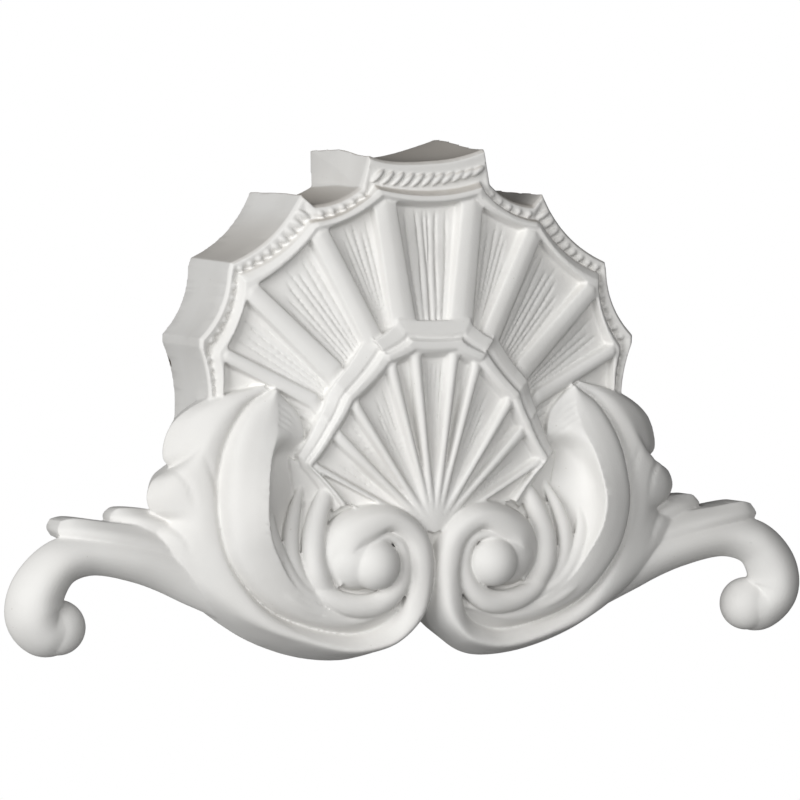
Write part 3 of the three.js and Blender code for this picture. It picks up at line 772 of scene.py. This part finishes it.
def ramped(value, start, end, first, last):
    """Runs evenly from the first value to the last while the driving value goes from start to end."""
    return value.node("ShaderNodeMapRange", i0=value, i1=start, i2=end, i3=first, i4=last)


def tinted(mask, base, colour):
    return mask.node("ShaderNodeMix", {"data_type": "RGBA"}, 2, i0=mask, i6=base, i7=colour)


def vertical(vector):
    """The vertical part of a place or a direction."""
    return vector.node("ShaderNodeSeparateXYZ", output="Z", Vector=vector)


def spot(place, ragged, centre, radius):
    """1 inside a small ragged patch round a point of the casting, and 0 outside it."""
    away = place.node("ShaderNodeVectorMath", {"operation": "DISTANCE"}, "Value", i0=place, i1=placed(centre))
    uneven = away + ragged * (radius * MM) - 0.5 * radius * MM
    return ramped(uneven, start=0.6 * radius * MM, end=radius * MM, first=1.0, last=0.0)


def primed_white():
    """Matt off-white primer: mottling, pores, painted shade on the upward faces high up, chips, soft brush
    and mould marks.
    """
    material, shader = new_material("primed_white")
    place = Shade(material.node_tree, None).node("ShaderNodeTexCoord", output="Object")
    cloud = noise(place, scale=22.0, detail=3.0)
    grain = noise(place, scale=900.0, detail=2.0)
    swell = noise(place, scale=120.0, detail=2.0)
    ragged = noise(place, scale=400.0, detail=1.0)
    pores = place.node("ShaderNodeTexVoronoi", Vector=place, Scale=140.0)
    facing = place.node("ShaderNodeNewGeometry", output="Normal")

    # Painted shade: upward faces high on the casting are tinted brown-grey and mottled by the cloud, standing
    # in for the shade the lamps leave on the top faces
    on_top = ramped(vertical(facing), start=0.5, end=0.95, first=0.0, last=1.0)
    high_up = ramped(vertical(place), start=TOP_SHADE_FROM * MM, end=TOP_SHADE_TO * MM, first=0.0, last=1.0)
    painted_top_shade = on_top * high_up * (0.45 + 0.3 * cloud)
    pored = ramped(pores + 0.16 * swell, start=0.1, end=0.13, first=0.5, last=0.0)
    chips = [spot(place, ragged, centre, radius) for centre, radius in CHIPS]
    chipped = sum(chips[1:], chips[0])

    colour = cloud.node("ShaderNodeValToRGB", {"stops": PRIMER_STOPS}, Fac=cloud)
    # The first tint is painted shade on the upward faces; the pores and chips are the casting's own marks
    for mask, over in ((painted_top_shade, TOP_SHADE), (pored, SPECK), (chipped, CHIP)):
        colour = tinted(mask, colour, over)
    height = grain * 0.35 + swell * 0.65 - chipped * 1.5
    marks = place.node("ShaderNodeBump", Strength=0.3, Distance=0.4 * MM, Height=height)
    feed(colour, shader, "Base Color")
    feed(0.62 + 0.12 * swell, shader, "Roughness")
    feed(marks, shader, "Normal")
    shader.inputs["Specular IOR Level"].default_value = 0.35
    return material


def floor():
    form = bmesh.new()
    bmesh.ops.create_grid(form, x_segments=1, y_segments=1, size=FLOOR_HALF)
    bmesh.ops.translate(form, verts=form.verts[:], vec=(0, 0, FLOOR_Z))
    mesh = bpy.data.meshes.new("floor")
    form.to_mesh(mesh)
    form.free()
    piece = bpy.data.objects.new("floor", mesh)
    bpy.context.scene.collection.objects.link(piece)
    material, shader = new_material("pale_floor")
    shader.inputs["Base Color"].default_value = FLOOR_COLOUR
    shader.inputs["Roughness"].default_value = FLOOR_ROUGHNESS
    mesh.materials.append(material)


def lamp(name, place, size, watts):
    light = bpy.data.lights.new(name, "AREA")
    light.size = size
    light.energy = watts
    holder = bpy.data.objects.new(name, light)
    holder.location = place
    holder.rotation_euler = (LAMPS_AIM - Vector(place)).to_track_quat("-Z", "Y").to_euler()
    bpy.context.scene.collection.objects.link(holder)


def studio():
    """A pale floor, soft lamps from the left and the front, and a white surround that lights dimly."""
    floor()
    lamp("key", KEY_PLACE, KEY_SIZE, KEY_WATTS)
    lamp("front", FRONT_PLACE, FRONT_SIZE, FRONT_WATTS)
    world = bpy.data.worlds.new("studio")
    bpy.context.scene.world = world
    world.use_nodes = True
    start = Shade(world.node_tree, None)
    seen = start.node("ShaderNodeLightPath")
    dim = start.node("ShaderNodeBackground", Color=WHITE, Strength=SURROUND_LIGHT)
    white = start.node("ShaderNodeBackground", Color=WHITE, Strength=SURROUND_SEEN)
    chosen = start.node("ShaderNodeMixShader", i0=seen, i1=dim, i2=white)
    feed(chosen, world.node_tree.nodes["World Output"], "Surface")
    bpy.context.scene.view_settings.view_transform = "Standard"


def camera():
    azimuth = math.radians(-CAMERA_AZIMUTH)
    elevation = math.radians(CAMERA_ELEVATION)
    level = math.cos(elevation)
    view = Vector((math.sin(azimuth) * level, math.cos(azimuth) * level, -math.sin(elevation)))
    lens = bpy.data.cameras.new("camera")
    lens.sensor_width = SENSOR
    lens.lens = SENSOR * FOCAL_PIXELS / IMAGE_WIDTH
    holder = bpy.data.objects.new("camera", lens)
    holder.location = CAMERA_AIM - view * CAMERA_DISTANCE
    holder.rotation_euler = view.to_track_quat("-Z", "Y").to_euler()
    bpy.context.scene.collection.objects.link(holder)
    bpy.context.scene.camera = holder


camera()
studio()
onlay = cast_onlay()
onlay.data.materials.append(primed_white())
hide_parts("scroll_onlay")
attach(onlay, "root")
